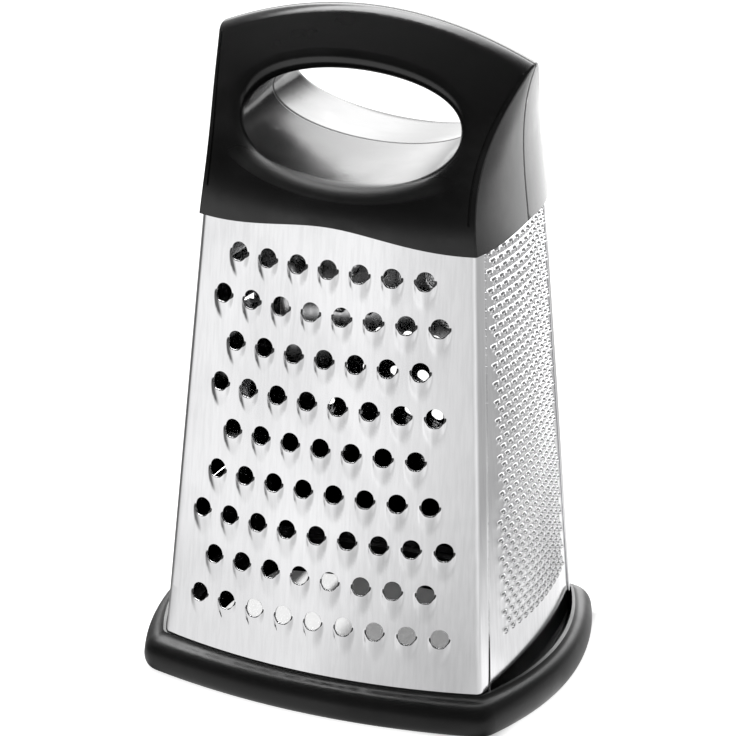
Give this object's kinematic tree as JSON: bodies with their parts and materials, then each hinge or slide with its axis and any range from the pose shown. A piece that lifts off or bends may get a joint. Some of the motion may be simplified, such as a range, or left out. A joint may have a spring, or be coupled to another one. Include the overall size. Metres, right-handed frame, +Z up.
{
  "type": "box grater",
  "caption": "Tapered four-sided steel box grater with a black moulded handle that has a through grip opening, and a soft black foot ring.",
  "frame": {"origin": "on the table under the middle of the foot ring", "axes": "+Z up; the coarse face looks towards -Y and the fine face towards +X"},
  "size_m": [0.1476, 0.118, 0.23],
  "materials": {
    "bright_steel": "polished stainless sheet",
    "handle_black": "satin black moulding",
    "insert_plastic": "plain black moulding",
    "foot_rubber": "soft black elastomer",
    "fastener_steel": "plain stainless"
  },
  "bodies": {
    "root": {"coarse_grater_panel": "bright_steel", "medium_grater_panel": "bright_steel", "fine_grater_panel": "bright_steel", "slicing_panel": "bright_steel", "corner_rivets": "fastener_steel", "handle_front_shell": "handle_black", "handle_rear_shell": "handle_black", "handle_insert": "insert_plastic", "handle_screws": "fastener_steel", "base_ring": "foot_rubber", "base_frame": "insert_plastic", "base_screws": "fastener_steel"}
  },
  "joints": []
}
